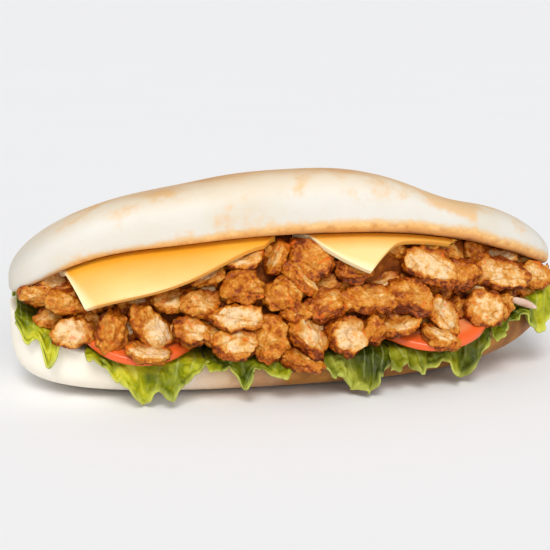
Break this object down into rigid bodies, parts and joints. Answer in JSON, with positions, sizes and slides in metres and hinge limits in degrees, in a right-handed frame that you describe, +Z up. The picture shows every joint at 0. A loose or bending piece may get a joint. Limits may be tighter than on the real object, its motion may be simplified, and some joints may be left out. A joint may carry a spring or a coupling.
{
  "type": "chicken sandwich",
  "caption": "Long white bread roll split lengthwise and tilted open at the front, heaped with grilled chicken pieces over tomato and lettuce, with cheese slices folded over the filling.",
  "frame": {"origin": "centre of the flat spot under the bottom bread, on the surface it rests on", "axes": "+X along the loaf from its blunt end to its pointed end, -Y out of the open front, +Z up"},
  "size_m": [0.252, 0.1175, 0.0963],
  "materials": {
    "lid_bread": "pale floury bread crust with a toasted rim",
    "base_bread": "pale bread crust, browner underneath",
    "chicken": "seasoned grilled chicken, moist, with pale cut sides",
    "cheese": "smooth soft yellow cheese",
    "tomato": "wet tomato flesh with a darker skin",
    "lettuce": "crisp curly lettuce with paler ribs and edges",
    "onion": "pale moist onion"
  },
  "bodies": {
    "root": {"bread_top": "lid_bread", "bread_bottom": "base_bread", "chicken_filling": "chicken", "cheese_slice_left": "cheese", "cheese_slice_right": "cheese", "onion_sliver": "onion", "lettuce_leaf_1": "lettuce", "lettuce_leaf_2": "lettuce", "lettuce_leaf_3": "lettuce", "lettuce_leaf_4": "lettuce", "lettuce_leaf_5": "lettuce", "lettuce_leaf_6": "lettuce", "tomato_slice_1": "tomato", "tomato_slice_2": "tomato", "tomato_slice_3": "tomato", "tomato_slice_4": "tomato"}
  },
  "joints": []
}
